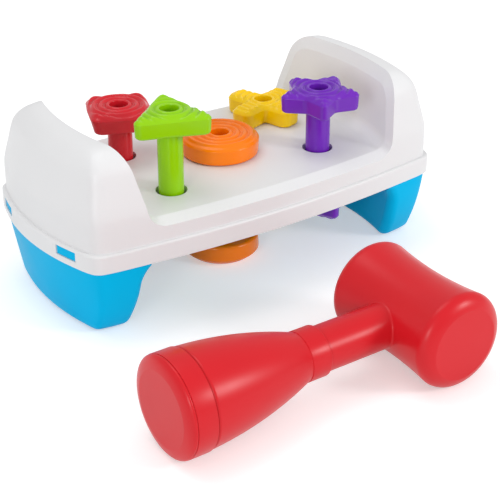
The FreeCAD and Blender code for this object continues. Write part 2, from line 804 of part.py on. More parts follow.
def build_hammer_head():
    """Hollow double-ended head with a boss inside that the shaft plugs into."""
    body = doc.addObject("PartDesign::Body", "hammer_head")
    turned(body, "head_form", "Revolution", "V_Axis", *head_profile(0.0))
    turned(body, "head_hollow", "Groove", "V_Axis", *head_profile(size.hammer_wall))
    boss_radius = size.shaft_radius + size.shaft_clearance + size.hammer_boss_wall
    bore_radius = size.shaft_radius + size.shaft_clearance
    boss_end = sqrt(size.hammer_waist_radius ** 2 - boss_radius ** 2)
    turned(body, "boss", "Revolution", "H_Axis",
           (-size.hammer_socket_start, bore_radius - size.hammer_boss_wall / 2),
           (-size.hammer_socket_start, boss_radius),
           (-boss_end, boss_radius),
           (-boss_end, bore_radius - size.hammer_boss_wall / 2))
    turned(body, "socket", "Groove", "H_Axis",
           (-size.hammer_socket_start + size.overrun, 0),
           (-size.hammer_socket_start + size.overrun, bore_radius),
           (-size.hammer_head_radius - size.overrun, bore_radius),
           (-size.hammer_head_radius - size.overrun, 0))
    return place_hammer(body)


def build_hammer_shaft():
    """Shaft with its collar, and a tang that carries the grip."""
    body = doc.addObject("PartDesign::Body", "hammer_shaft")
    turned(body, "shaft_form", "Revolution", "H_Axis",
           (-size.hammer_socket_start, 0),
           (-size.hammer_socket_start, size.shaft_radius),
           (-size.shaft_collar_start, size.shaft_radius),
           (-size.shaft_collar_start, size.shaft_collar_radius),
           (-size.grip_start, size.shaft_collar_radius),
           (-size.grip_start, size.shaft_tang_radius),
           (-size.grip_start - size.shaft_tang_length, size.shaft_tang_radius),
           (-size.grip_start - size.shaft_tang_length, 0))
    return place_hammer(body)


def build_hammer_grip():
    """Hollow flared grip that ends in a broad band, open at the butt for the cap."""
    body = doc.addObject("PartDesign::Body", "hammer_grip")
    bore = size.shaft_tang_radius + size.shaft_clearance
    hollow_radius = size.grip_end_radius - size.hammer_wall
    hollow_start = size.grip_start + size.shaft_tang_length + size.hammer_wall
    turned(body, "grip_form", "Revolution", "H_Axis",
           (-size.grip_start, bore),
           (-size.grip_start, size.grip_start_radius),
           (-size.grip_middle, size.grip_middle_radius,
            -size.band_start, size.grip_end_radius),
           (-size.band_start, size.band_radius),
           (-size.band_end, size.band_radius),
           (-size.band_end, hollow_radius),
           (-size.band_start, hollow_radius),
           (-hollow_start, size.grip_middle_radius - 2 * size.hammer_wall),
           (-hollow_start, bore))
    return place_hammer(body)


def build_hammer_end_cap():
    """Rounded end cap with a plug ring inside the grip."""
    body = doc.addObject("PartDesign::Body", "hammer_end_cap")
    plug = size.grip_end_radius - size.hammer_wall - size.shaft_clearance
    end = size.band_end + size.cap_height
    fall = size.band_radius - size.cap_face_radius
    turned(body, "cap_form", "Revolution", "H_Axis",
           (-size.band_end + size.cap_plug_length, plug - size.hammer_wall),
           (-size.band_end + size.cap_plug_length, plug),
           (-size.band_end, plug),
           (-size.band_end, size.band_radius),
           (-size.band_end - size.cap_height * sin(pi / 4),
            size.band_radius - fall * (1 - cos(pi / 4)),
            -end, size.cap_face_radius),
           (-end, 0),
           (-size.band_end, 0),
           (-size.band_end, plug - size.hammer_wall))
    return place_hammer(body)


def build_hammer():
    return [build_hammer_head(), build_hammer_shaft(), build_hammer_grip(),
            build_hammer_end_cap()]


pieces = [build_top_shell(), build_base_shell()] + build_pegs() + build_hammer()
doc.recompute()

for thing in doc.Objects:
    if "Invalid" in thing.State or "Error" in thing.State:
        raise RuntimeError("%s failed: %s" % (thing.Name, thing.State))
for piece in pieces:
    if piece.Shape.isNull() or not piece.Shape.isValid() or len(piece.Shape.Solids) != 1:
        raise RuntimeError("%s is not one sound solid" % piece.Name)

os.makedirs("parts", exist_ok=True)
for piece in pieces:
    piece.Label = piece.Name
    piece.Shape.exportStep("parts/%s.step" % piece.Label)
    box = piece.Shape.BoundBox
    print("%-20s %9.1f mm3  x %.1f %.1f  y %.1f %.1f  z %.1f %.1f" % (
        piece.Label, piece.Shape.Volume, box.XMin, box.XMax, box.YMin, box.YMax,
        box.ZMin, box.ZMax))
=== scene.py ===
# %% [markdown]
# # Dressing a peg pounding bench
#
# The object is a toy bench: a white moulded top on a blue moulded base, five coloured
# pegs that are hammered down through the deck, and a red hammer lying in front of it.
# The CAD model arrives as a fixed frame that already has every size and every joint.
# This script gives it surfaces and finishes. Each step says what the thing is on the
# real object, how it could be made, and why this way was chosen.

# %% Load the fixed frame
import math

import bpy
import numpy as np
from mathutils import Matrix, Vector


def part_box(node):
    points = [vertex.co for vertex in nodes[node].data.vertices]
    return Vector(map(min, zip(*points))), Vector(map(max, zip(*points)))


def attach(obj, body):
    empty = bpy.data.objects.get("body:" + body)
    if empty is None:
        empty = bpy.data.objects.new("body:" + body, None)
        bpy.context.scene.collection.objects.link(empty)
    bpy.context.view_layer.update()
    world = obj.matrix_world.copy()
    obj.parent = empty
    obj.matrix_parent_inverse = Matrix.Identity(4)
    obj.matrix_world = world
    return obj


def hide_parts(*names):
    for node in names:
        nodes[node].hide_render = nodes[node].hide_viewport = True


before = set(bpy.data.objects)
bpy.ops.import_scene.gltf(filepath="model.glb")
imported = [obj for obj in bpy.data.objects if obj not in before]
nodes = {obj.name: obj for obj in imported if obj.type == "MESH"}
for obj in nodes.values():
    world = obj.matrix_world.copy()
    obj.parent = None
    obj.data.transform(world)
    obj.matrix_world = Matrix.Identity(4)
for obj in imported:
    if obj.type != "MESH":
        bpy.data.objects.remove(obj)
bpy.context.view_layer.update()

# %% [markdown]
# ## Millimetres, and where things are
#
# The frame is in metres, but a toy is easier to think about in millimetres, so the
# surfaces below are worked out in millimetres and turned into metres at the very end.
# No place is typed in: each new piece reads from the frame where its CAD node stands.
# The hammer is measured from the middle of its head, where the head's axis and the
# handle's axis cross.

# %% Boxes in millimetres
MM = 0.001


def box_mm(node):
    """Lowest and highest corner of a CAD node, in millimetres."""
    low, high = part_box(node)
    return np.array(low) / MM, np.array(high) / MM


hammer_low, hammer_high = box_mm("hammer_head")
HAMMER = (hammer_low + hammer_high) / 2
print("the hammer head's middle:", HAMMER.round(2), "mm")

# %% [markdown]
# ## From a grid of points to a mesh
#
# Every new surface here is a grid: one direction runs round the piece, the other runs
# along its profile. Primitives and bevels could be stacked instead, but a grid keeps
# the whole shape in one formula, closes without seams and shades smoothly.
#
# The faces of such a grid are numbered as whole arrays. A row's last column is joined
# to its first, which closes the seam, and a fan of triangles closes each end.

# %% Numbering the faces
def grid_faces(rows, columns):
    """Quads of a grid whose columns close on themselves. The point in row i and column
    j is number i * columns + j."""
    row, column = np.meshgrid(np.arange(rows - 1), np.arange(columns), indexing="ij")
    after = (column + 1) % columns
    quads = np.stack([row * columns + column, row * columns + after,
                      (row + 1) * columns + after, (row + 1) * columns + column], -1)
    return quads.reshape(-1, 4)


def cap_faces(row, columns, centre, flip):
    """Triangles from one row of the grid to a centre point."""
    column = np.arange(columns)
    after = (column + 1) % columns
    fan = np.stack([row * columns + column, row * columns + after,
                    np.full(columns, centre)], -1)
    return fan[:, ::-1] if flip else fan


print("a tube of 3 rows and 8 columns has", len(grid_faces(3, 8)), "quads")

# %% [markdown]
# Faces have to look outwards, and it is easy to number them the wrong way round. The
# volume inside a closed skin tells: it comes out negative when the faces look inwards.
# Blender can recalculate normals too, but one sum does it here before the mesh is made.

# %% Which way the faces look
def signed_volume(points, triangles):
    """Volume inside a closed skin: the sum of a . (b x c) / 6 over its triangles. It is
    negative where the corners run the wrong way round and the faces look inwards."""
    a, b, c = (points[triangles[:, corner]] for corner in range(3))
    return np.einsum("ij,ij->i", a, np.cross(b, c)).sum() / 6


cube_corner = np.array([[0, 0, 0], [1, 0, 0], [0, 1, 0], [0, 0, 1]])
outward = np.array([[0, 2, 1], [0, 1, 3], [0, 3, 2], [1, 2, 3]])
print("the corner cut off a unit cube holds", round(signed_volume(cube_corner, outward), 3))

# %% [markdown]
# Blender could be handed one vertex and one face at a time, but whole arrays go in far
# faster. `foreach_set` wants flat lists: the coordinates, then the corners of all the
# faces in a row, then where in that row each face starts.

# %% Points and faces into Blender
def fill_mesh(name, points, quads, triangles):
    """A mesh object with smooth faces from arrays of points (mm) and corner indices."""
    corners = np.concatenate([quads.ravel(), triangles.ravel()])
    sizes = np.concatenate([np.full(len(quads), 4), np.full(len(triangles), 3)])
    mesh = bpy.data.meshes.new(name)
    mesh.vertices.add(len(points))
    mesh.vertices.foreach_set("co", (points * MM).astype(np.float32).ravel())
    mesh.loops.add(len(corners))
    mesh.loops.foreach_set("vertex_index", corners.astype(np.int32))
    mesh.polygons.add(len(sizes))
    mesh.polygons.foreach_set("loop_start", (np.cumsum(sizes) - sizes).astype(np.int32))
    mesh.polygons.foreach_set("use_smooth", np.ones(len(sizes), bool))
    mesh.update(calc_edges=True)
    mesh.validate()
    piece = bpy.data.objects.new(name, mesh)
    bpy.context.scene.collection.objects.link(piece)
    return piece


def solid_piece(name, grid):
    """A closed body from a grid (rows, columns, 3). Each end row is joined to its own
    mean point, and all faces are turned over if the volume comes out negative."""
    rows, columns, _ = grid.shape
    ends = np.stack([grid[0].mean(0), grid[-1].mean(0)])
    points = np.concatenate([grid.reshape(-1, 3), ends])
    quads = grid_faces(rows, columns)
    triangles = np.concatenate([cap_faces(0, columns, rows * columns, True),
                                cap_faces(rows - 1, columns, rows * columns + 1, False)])
    skin = np.concatenate([quads[:, :3], quads[:, [0, 2, 3]], triangles])
    if signed_volume(points - ends[0], skin) < 0:
        quads = quads[:, ::-1]
        triangles = triangles[:, ::-1]
    piece = fill_mesh(name, points, quads, triangles)
    print(name, "has", len(piece.data.polygons), "faces")
    return piece


# %% [markdown]
# ## Moulded plastic
#
# All coloured parts are injection moulded: one colour right through, a soft gloss, and
# a skin that is not perfectly flat. A single flat colour would look like paint on
# glass. So the colour drifts by a percent or two over a few centimetres, the gloss
# varies a little more, and a fine grain bends the highlights. An image could carry all
# this, but noise needs no unwrapping. It reads object coordinates, because every mesh
# sits at the origin, and so the pattern stays put when a piece moves.

# %% Screen colours
def to_linear(colour):
    """A screen colour as the linear values a shader wants: v / 12.92 up to 0.04045, and
    ((v + 0.055) / 1.055) ^ 2.4 above."""
    values = np.array(colour)
    low = values / 12.92
    high = ((values + 0.055) / 1.055) ** 2.4
    return tuple(np.where(values <= 0.04045, low, high))


print("a screen grey of 0.5 is", round(float(to_linear((0.5,))[0]), 3), "in linear light")

# %% Noise on a piece
NOISE_LOW = 0.3
NOISE_HIGH = 0.7


def node(tree, kind, **settings):
    """Adds a shader node and sets its properties."""
    made = tree.nodes.new(kind)
    for key, value in settings.items():
        setattr(made, key, value)
    return made


def noise(tree, scale, detail):
    """Noise on the object's own coordinates, with features 1/scale metres across."""
    place = node(tree, "ShaderNodeTexCoord")
    texture = node(tree, "ShaderNodeTexNoise")
    texture.inputs["Scale"].default_value = scale
    texture.inputs["Detail"].default_value = detail
    tree.links.new(place.outputs["Object"], texture.inputs["Vector"])
    return texture.outputs["Fac"]


def spread(tree, source, low, high):
    """Stretches the middle of a noise, where nearly all of it lies, onto a range."""
    stretch = node(tree, "ShaderNodeMapRange")
    stretch.inputs["From Min"].default_value = NOISE_LOW
    stretch.inputs["From Max"].default_value = NOISE_HIGH
    stretch.inputs["To Min"].default_value = low
    stretch.inputs["To Max"].default_value = high
    tree.links.new(source, stretch.inputs["Value"])
    return stretch.outputs["Result"]


print("noise from", NOISE_LOW, "to", NOISE_HIGH, "is stretched onto each range")

# %% [markdown]
# One function makes every plastic. Three noises of different size do the work: patches
# of a few centimetres for the colour, of a centimetre or two for the gloss, and a
# grain under a millimetre for the bump. `shine` holds back the mirror-like reflection,
# which in white surroundings would wash the strong colours out.

# %% The plastic
COLOUR_NOISE = {"scale": 22.0, "detail": 2.0}
GLOSS_NOISE = {"scale": 60.0, "detail": 3.0}
GRAIN_NOISE = {"scale": 1400.0, "detail": 2.0}
GLOSS_DRIFT = 0.08
GRAIN_HEIGHT = 0.0004
PLASTIC_IOR = 1.5


def plastic(name, colour, gloss, drift=0.02, grain=0.05, shine=0.3):
    """Moulded plastic: colour (1 - drift to 1 + drift), roughness gloss (0.92 to 1.08)
    and a grain of that strength on the skin."""
    material = bpy.data.materials.new(name)
    material.use_nodes = True
    tree = material.node_tree
    shader = tree.nodes["Principled BSDF"]
    tones = node(tree, "ShaderNodeMix", data_type="RGBA")
    base = np.array(to_linear(colour))
    tones.inputs["A"].default_value = (*np.clip(base * (1 - drift), 0, 1), 1)
    tones.inputs["B"].default_value = (*np.clip(base * (1 + drift), 0, 1), 1)
    tree.links.new(spread(tree, noise(tree, **COLOUR_NOISE), 0.0, 1.0), tones.inputs["Factor"])
    tree.links.new(tones.outputs["Result"], shader.inputs["Base Color"])
    uneven = spread(tree, noise(tree, **GLOSS_NOISE),
                    gloss * (1 - GLOSS_DRIFT), gloss * (1 + GLOSS_DRIFT))
    tree.links.new(uneven, shader.inputs["Roughness"])
    skin = node(tree, "ShaderNodeBump")
    skin.inputs["Strength"].default_value = grain
    skin.inputs["Distance"].default_value = GRAIN_HEIGHT
    tree.links.new(noise(tree, **GRAIN_NOISE), skin.inputs["Height"])
    tree.links.new(skin.outputs["Normal"], shader.inputs["Normal"])
    shader.inputs["IOR"].default_value = PLASTIC_IOR
    shader.inputs["Specular IOR Level"].default_value = shine
    return material


white = plastic("white_shell_plastic", (0.9, 0.9, 0.905), gloss=0.36, drift=0.008, shine=0.4)
blue = plastic("blue_base_plastic", (0.0, 0.73, 0.93), gloss=0.42, shine=0.05)
hammer_red = plastic("hammer_red_plastic", (0.83, 0.1, 0.14), gloss=0.32, grain=0.02,
                     shine=0.28)
print("plastics of the bench and the hammer:", [white.name, blue.name, hammer_red.name])

# %% [markdown]
# The pegs are glossier than the shells, as small parts from a polished mould are. They
# could be five recipes, but they share one gloss and differ only in colour, so one
# table holds them all.

# %% The pegs' colours
PEG_GLOSS = 0.22
PEG_SHINE = 0.35
PEG_COLOURS = {
    "red": (0.82, 0.12, 0.17),
    "green": (0.58, 0.82, 0.0),
    "orange": (1.0, 0.5, 0.0),
    "yellow": (1.0, 0.83, 0.0),
    "purple": (0.44, 0.14, 0.72),
}
peg_plastic = {colour: plastic(colour + "_peg_plastic", value, PEG_GLOSS, shine=PEG_SHINE)
               for colour, value in PEG_COLOURS.items()}
print("plastics of the pegs:", len(peg_plastic))

# %% [markdown]
# Two finishes are hidden for most of the toy's life. The grip rings are black rubber,
# dull and grainy. The screws are zinc plated steel: metal all over, brighter where the
# plating is thick. Both are the plastic's recipe with other numbers, because a drift
# of tone, an uneven gloss and a grain are what these surfaces have as well.

# %% Rubber and steel
rubber = plastic("ring_rubber", (0.1, 0.1, 0.105), gloss=0.75, drift=0.15, grain=0.3)
steel = plastic("screw_steel", (0.72, 0.72, 0.7), gloss=0.32, drift=0.08, grain=0.1)
steel.node_tree.nodes["Principled BSDF"].inputs["Metallic"].default_value = 1.0
print("hidden finishes:", [rubber.name, steel.name])

# %% [markdown]
# The two shells, the rings and the screws keep their CAD shapes. The shells are large
# smooth mouldings whose curves the CAD already has, so a good finish is all they need.
# The word in a node's name says what it is made of. The nodes that get a new surface
# further down are coloured as well, so no solid is ever left bare.

# %% Finish the CAD nodes
def finish(piece, material):
    """Puts one material on a piece or on a CAD node."""
    piece.data.materials.clear()
    piece.data.materials.append(material)


def node_material(name):
    """What a CAD node is made of, read from its name."""
    if name.endswith("grip_ring"):
        return rubber
    if name.endswith("screw"):
        return steel
    if name.startswith("hammer"):
        return hammer_red
    if name.endswith("shell"):
        return white if name.startswith("top") else blue
    return peg_plastic[name.split("_")[0]]


for name, cad in nodes.items():
    finish(cad, node_material(name))
print("finished", len(nodes), "nodes; top_shell is", node_material("top_shell").name)

# %% [markdown]
# ## The heads' outlines
#
# Five pegs, five outlines: a rounded square, a triangle, a disc, a plus sign and a
# star. Each could be drawn as a curve and filled, but the ripples on top need to know
# the outline as numbers. So each is a polygon with rounded corners. It is made of one
# arm that is repeated round the middle, which keeps the arms alike.

# %% Corners of the outlines, in millimetres
SQUARE_HALF = 18.4
TRIANGLE_HALF = 14.4
PLUS_REACH = 25.2
PLUS_HALF_ARM = 7.8
PLUS_CORNER = math.hypot(PLUS_REACH, PLUS_HALF_ARM)
PLUS_SPREAD = math.degrees(math.atan2(PLUS_HALF_ARM, PLUS_REACH))

# How many arms, the first arm's direction in degrees, and each corner of an arm: its
# distance from the middle, its degrees past the arm's direction, and its rounding.
ARMS = {
    "red": (4, 22.4, [(SQUARE_HALF * math.sqrt(2), 0, 6.2), (19.3, 45, 60.0)]),
    "green": (3, 69, [(TRIANGLE_HALF * 2, 0, 3.8)]),
    "yellow": (4, 17, [(PLUS_CORNER, -PLUS_SPREAD, 5.4), (PLUS_CORNER, PLUS_SPREAD, 5.4),
                       (11.3, 45, 2.4)]),
    "purple": (5, -119, [(27.6, 0, 3.2), (16.0, 36, 6.8)]),
}


def arm_corners(count, direction, arm):
    """Corner points and their roundings: corner (d, a) of arm k stands at distance d and
    at the angle direction + a + k * 360 / count."""
    distance, past, rounding = np.array(arm, float).T
    turn = np.radians(direction + past + np.arange(count)[:, None] * 360 / count)
    corners = np.stack([distance * np.cos(turn), distance * np.sin(turn)], -1)
    return corners.reshape(-1, 2), np.tile(rounding, count)


print("corners:", {colour: len(arm_corners(*arms)[0]) for colour, arms in ARMS.items()})

# %% [markdown]
# A moulded corner is never sharp, because the tool that cuts the mould is round. A bevel
# could round a mesh, but here the outline is still a list of numbers, so each corner
# becomes an arc that touches both sides. The middle of the red square's sides is such a
# corner too, with a very wide arc, because the sides bulge a little.

# %% Rounded corners
ARC_SAMPLES = 24


def rounded_loop(corners, radii):
    """Points along a polygon whose corner i is rounded by radii[i]: the arc's centre is
    on the corner's bisector, radius / sin(half angle) away from the corner, and the arc
    starts and ends radius / tan(half angle) from the corner."""
    before = np.roll(corners, 1, 0) - corners
    after = np.roll(corners, -1, 0) - corners
    before /= np.hypot(*before.T)[:, None]
    after /= np.hypot(*after.T)[:, None]
    middle = (before + after) / np.hypot(*(before + after).T)[:, None]
    half = (np.arccos(np.clip((before * after).sum(-1), -1, 1)) / 2)[:, None]
    size = radii[:, None]
    centre = corners + middle * size / np.sin(half)
    start = corners + before * size / np.tan(half) - centre
    end = corners + after * size / np.tan(half) - centre
    swing = np.arctan2(start[:, 0] * end[:, 1] - start[:, 1] * end[:, 0],
                       (start * end).sum(-1))
    turn = (np.arctan2(start[:, 1], start[:, 0])[:, None]
            + swing[:, None] * np.linspace(0, 1, ARC_SAMPLES))
    arcs = centre[:, None] + size[..., None] * np.stack([np.cos(turn), np.sin(turn)], -1)
    return arcs.reshape(-1, 2)


print("points on the star's outline:", len(rounded_loop(*arm_corners(*ARMS["purple"]))))

# %% [markdown]
# Seen from the middle, any ray crosses such an outline once, so it can be written as a
# radius for each angle. The loop is sampled finely and then read at evenly spaced
# angles, which gives all five heads the same columns. The disc is the easy case: the
# same radius all round.

# %% Outlines as radius by angle
COLUMNS = 240
ANGLES = np.arange(COLUMNS) * 2 * np.pi / COLUMNS
SIDE_SAMPLES = 80
DISC_RADIUS = 24.2


def outline_of(arms):
    """The outline's radius at each of ANGLES, and the loop it was read from."""
    loop = rounded_loop(*arm_corners(*arms))
    share = np.linspace(0, 1, SIDE_SAMPLES, endpoint=False)[:, None, None]
    dense = loop + (np.roll(loop, -1, 0) - loop) * share
    dense = dense.transpose(1, 0, 2).reshape(-1, 2)
    turn = np.arctan2(dense[:, 1], dense[:, 0]) % (2 * np.pi)
    order = np.argsort(turn)
    radius = np.interp(ANGLES, turn[order], np.hypot(*dense[order].T), period=2 * np.pi)
    return radius, loop


disc_loop = DISC_RADIUS * np.stack([np.cos(ANGLES), np.sin(ANGLES)], -1)
OUTLINES = {
    "red": outline_of(ARMS["red"]),
    "green": outline_of(ARMS["green"]),
    "orange": (np.full(COLUMNS, DISC_RADIUS), disc_loop),
    "yellow": outline_of(ARMS["yellow"]),
    "purple": outline_of(ARMS["purple"]),
}
print("head reach in mm:", {colour: round(float(radius.max()), 1)
                            for colour, (radius, _) in OUTLINES.items()})

# %% [markdown]
# ## A peg head with ripples
#
# A head looks like a drop has fallen into it: round waves run out from the hole in its
# middle, and only the outline cuts them off. The rim then rolls over in a broad
# shoulder. The waves are round whatever the outline is, and the shoulder follows the
# outline, so the height of a point needs two distances: how far it is from the hole,
# and how far from the outline. A bump in the material could fake the waves, but their
# crests show against the light, so they are real height.

# %% Distance to the outline
TINY = 1e-12


def outline_distance(points, loop):
    """Distance of each point to the loop's nearest side: the foot of the perpendicular
    lies at share t = (p - a) . (b - a) / |b - a|^2 of the side, held between its ends."""
    side = np.roll(loop, -1, 0) - loop
    from_start = points.reshape(-1, 1, 2) - loop
    length = np.maximum((side ** 2).sum(-1), TINY)
    share = np.clip((from_start * side).sum(-1) / length, 0, 1)
    gap = from_start - share[..., None] * side
    return np.sqrt((gap ** 2).sum(-1).min(1)).reshape(points.shape[:-1])


middle_gap = outline_distance(np.zeros((1, 2)), OUTLINES["green"][1])
print("the triangle's side is", round(float(middle_gap[0]), 2), "mm from its middle")

# %% The rippled top
HEAD_HEIGHT = 13.2
BORE = 5.6
LIP = 6.5
PITCH = 4.45
WAVE = 1.35
WAVE_SHARPNESS = 1.4
WAVE_FADE = 3.6
SHOULDER_WIDTH = 4.2
SHOULDER_HEIGHT = 3.7
SHOULDER_BEND = 1.8
WAVE_ROWS = 56
SHOULDER_ROWS = 26


def head_top(radius, loop):
    """The rippled top: rows run from the lip to the outline. A point r from the middle
    and d from the outline has
    height = head height - wave(r) - shoulder(d),
    wave(r) = depth ((1 - cos(2 pi (r - lip) / pitch)) / 2)^1.4, which fades out over the
    last few millimetres, and shoulder(d) = h (1 - d / w)^bend."""
    flat_edge = radius - SHOULDER_WIDTH
    across = np.linspace(0, 1, WAVE_ROWS, endpoint=False)[:, None]
    roll = np.linspace(0, 1, SHOULDER_ROWS)[:, None]
    r = np.concatenate([LIP + (flat_edge - LIP) * across, flat_edge + SHOULDER_WIDTH * roll])
    flat = np.stack([r * np.cos(ANGLES), r * np.sin(ANGLES)], -1)
    distance = outline_distance(flat, loop)
    fade = np.clip(distance / WAVE_FADE, 0, 1)
    ripple = (0.5 - np.cos(2 * np.pi * (r - LIP) / PITCH) / 2) ** WAVE_SHARPNESS
    near = np.clip(1 - distance / SHOULDER_WIDTH, 0, 1)
    near[-1] = 1.0  # the last row lies on the outline itself
    shoulder = SHOULDER_HEIGHT * near ** SHOULDER_BEND
    height = HEAD_HEIGHT - WAVE * ripple * fade - shoulder
    return np.concatenate([flat, height[..., None]], -1)


disc_top = head_top(*OUTLINES["orange"])
print("the disc's top runs from", disc_top[..., 2].min().round(2), "to",
      disc_top[..., 2].max().round(2), "mm")

# %% [markdown]
# One grid carries a whole half of a peg: it starts at the floor of the bore, climbs
# over the lip, crosses the waves, rolls down the side, runs back under the head and
# follows the stem to its end. The red square's side leans in more than the others'.
# Separate pieces could be joined instead, but every joint would show as a seam.

# %% One half of a peg
FOOT = 2.0
DRAFT = {"red": 2.2}
SMALL_DRAFT = 0.4
STEM = 7.5
UPPER_BORE = 45.0
LOWER_BORE = 10.0
LOWER_SPIGOT = 2.0
LIP_STEPS = 5
FOOT_STEPS = 8
SIDE_SHARES = np.array([0.04, 0.5, 1.0])
UNDER_SHARES = (0.6, 0.25)
EDGE_ROW = 0.4  # a row this close to an edge keeps the smooth shading from bleeding


def ring_rows(radii, heights):
    """Rows of a grid, each at its own height: point = (r cos a, r sin a, z), where a
    row's r is one number or one number per angle."""
    r = np.stack([np.broadcast_to(radius, COLUMNS) for radius in radii])
    z = np.repeat(np.array(heights, float)[:, None], COLUMNS, 1)
    return np.stack([r * np.cos(ANGLES), r * np.sin(ANGLES), z], -1)


def peg_grid(colour, bore_depth, stem_length):
    """Bore, lip, rippled top, side, foot rounding, underside and stem. Two of them are
    quarter circles: the lip, with radius = L - h cos(t) and height = H - h (1 - sin(t)),
    and the foot, with radius = low - F (1 - cos(t)) and height = F (1 - sin(t))."""
    radius, loop = OUTLINES[colour]
    lip_turn = np.linspace(0, np.pi / 2, LIP_STEPS)[1:-1]
    lip_height = LIP - BORE
    bore = ring_rows([BORE] * 3, [HEAD_HEIGHT - bore_depth, HEAD_HEIGHT - bore_depth / 2,
                                  HEAD_HEIGHT - lip_height])
    lip = ring_rows(LIP - lip_height * np.cos(lip_turn),
                    HEAD_HEIGHT - lip_height * (1 - np.sin(lip_turn)))
    side_top = HEAD_HEIGHT - SHOULDER_HEIGHT
    low = radius - DRAFT.get(colour, SMALL_DRAFT)
    side = ring_rows([radius + (low - radius) * share for share in SIDE_SHARES],
                     side_top + (FOOT - side_top) * SIDE_SHARES)
    foot_turn = np.linspace(0, np.pi / 2, FOOT_STEPS)[1:]
    foot = ring_rows([low - FOOT * (1 - math.cos(turn)) for turn in foot_turn],
                     FOOT * (1 - np.sin(foot_turn)))
    under = ring_rows([STEM + (low - FOOT - STEM) * share for share in UNDER_SHARES], [0, 0])
    stem = ring_rows([STEM] * 5, [0, -EDGE_ROW, -stem_length / 2,
                                  -stem_length + EDGE_ROW, -stem_length])
    return np.concatenate([bore, lip, head_top(radius, loop), side, foot, under, stem])


print("half a peg is a grid of", peg_grid("green", LOWER_BORE, LOWER_SPIGOT).shape[:2], "points")

# %% [markdown]
# The upper half of a peg is a head on its stem. The lower half is the same head turned
# over, with only a short spigot that disappears into the stem. Each stands where its
# CAD node stands: its axis is the grip ring's, its height comes from the node's box,
# and it rides on the peg's own body.

# %% Place the ten heads
for colour in OUTLINES:
    top_low, top_high = box_mm(colour + "_peg_top")
    ring_low, ring_high = box_mm(colour + "_grip_ring")
    axis = (ring_low + ring_high)[:2] / 2
    head_foot = top_high[2] - HEAD_HEIGHT
    upper = peg_grid(colour, UPPER_BORE, head_foot - top_low[2])
    upper += [*axis, head_foot]
    piece = solid_piece(colour + "_head_and_stem", upper)
    finish(piece, peg_plastic[colour])
    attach(piece, colour + "_peg")
    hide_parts(colour + "_peg_top")

    bottom_low, _ = box_mm(colour + "_peg_bottom")
    lower = peg_grid(colour, LOWER_BORE, LOWER_SPIGOT) * [1, -1, -1]
    lower += [*axis, bottom_low[2] + HEAD_HEIGHT]
    piece = solid_piece(colour + "_lower_head", lower)
    finish(piece, peg_plastic[colour])
    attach(piece, colour + "_peg")
    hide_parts(colour + "_peg_bottom")
    print(colour, "peg stands at", axis.round(1), "with its head's foot at", head_foot.round(1))

# %% [markdown]
# ## The hammer
#
# The hammer looks like turned work in plastic: everything on it is round about one of
# two axes. Blender's Screw modifier could turn each part. Here a part is a profile of
# distance along the axis and radius, and one array sweeps it round, because a formula
# can then shape the profile, and points can be put exactly where light catches an edge.
# All distances run from the head's middle, in millimetres.

# %% Profiles and turning
ROUND = 192
TURN = np.arange(ROUND) * 2 * np.pi / ROUND
PATH_STEPS = 6


def rounded_path(corners, radii):
    """An open profile whose inner corner i is rounded by radii[i]. A quadratic curve
    start (1 - t)^2 + corner 2 t (1 - t) + end t^2 replaces the corner; start and end lie
    radius / tan(half angle) from it."""
    corners = np.array(corners, float)
    share = np.linspace(0, 1, PATH_STEPS)[:, None]
    runs = [corners[:1]]
    for here, before, after, radius in zip(corners[1:-1], corners[:-2], corners[2:], radii):
        to_before = (before - here) / np.hypot(*(before - here))
        to_after = (after - here) / np.hypot(*(after - here))
        half = math.acos(np.clip(to_before @ to_after, -1, 1)) / 2
        start = here + to_before * radius / math.tan(half)
        end = here + to_after * radius / math.tan(half)
        runs.append(start * (1 - share) ** 2 + here * 2 * share * (1 - share) + end * share ** 2)
    return np.concatenate(runs + [corners[-1:]])


def turn_round(profile, part):
    """Sweeps a profile of (distance s, radius r) about an axis through the head's middle:
    (r cos a, s, r sin a) for the head and (-s, r cos a, r sin a) for the handle."""
    along = np.repeat(profile[:, :1], ROUND, 1)
    across = profile[:, 1:] * np.cos(TURN)
    up = profile[:, 1:] * np.sin(TURN)
    grid = [across, along, up] if part == "head" else [-along, across, up]
    return np.stack(grid, -1) + HAMMER


print("points in a rounded right angle:", len(rounded_path([(0, 0), (1, 0), (1, 1)], [0.2])))

# %% [markdown]
# Both striking faces of the head and the cap at the grip's end are finished alike: a
# soft rolled edge that does not quite reach the flat, so a faint crease runs round the
# face and catches the light. A bevel would run on smoothly and lose that line. The
# edge therefore stops short, at 64 degrees of its quarter turn.

# %% Rolled edges and flat faces
CREASE = math.radians(64)
ROLL_STEPS = 14
FACE_RINGS = np.array([0.992, 0.6, 0.25, 0.02])


def rolled_edge(start, radius, length, drop):
    """s = start + length sin(t) / sin(T) and r = radius - drop (1 - cos t) / (1 - cos T),
    with t from 0 to the crease's angle T."""
    roll = np.linspace(0, CREASE, ROLL_STEPS)[1:]
    return np.stack([start + length * np.sin(roll) / math.sin(CREASE),
                     radius - drop * (1 - np.cos(roll)) / (1 - math.cos(CREASE))], -1)


def flat_face(s, radius):
    """Rings of a flat face at s, each a share of its radius."""
    return np.stack([np.full(len(FACE_RINGS), s), radius * FACE_RINGS], -1)


print("rings on a rolled edge and its face:", ROLL_STEPS - 1 + len(FACE_RINGS))

# %% [markdown]
# The head is a barrel with a narrower middle. Loop cuts on a cylinder, scaled by hand,
# would give a similar waist. A parabola gives an even one, which widens steadily up to
# the rolled edges.

# %% The hammer's head
HEAD_RADIUS = 28.0
HEAD_HALF = 41.4
HEAD_WAIST = 25.7
FACE_ROUNDING = 7.5
BARREL_END = HEAD_HALF - FACE_ROUNDING
BARREL_ROWS = 30


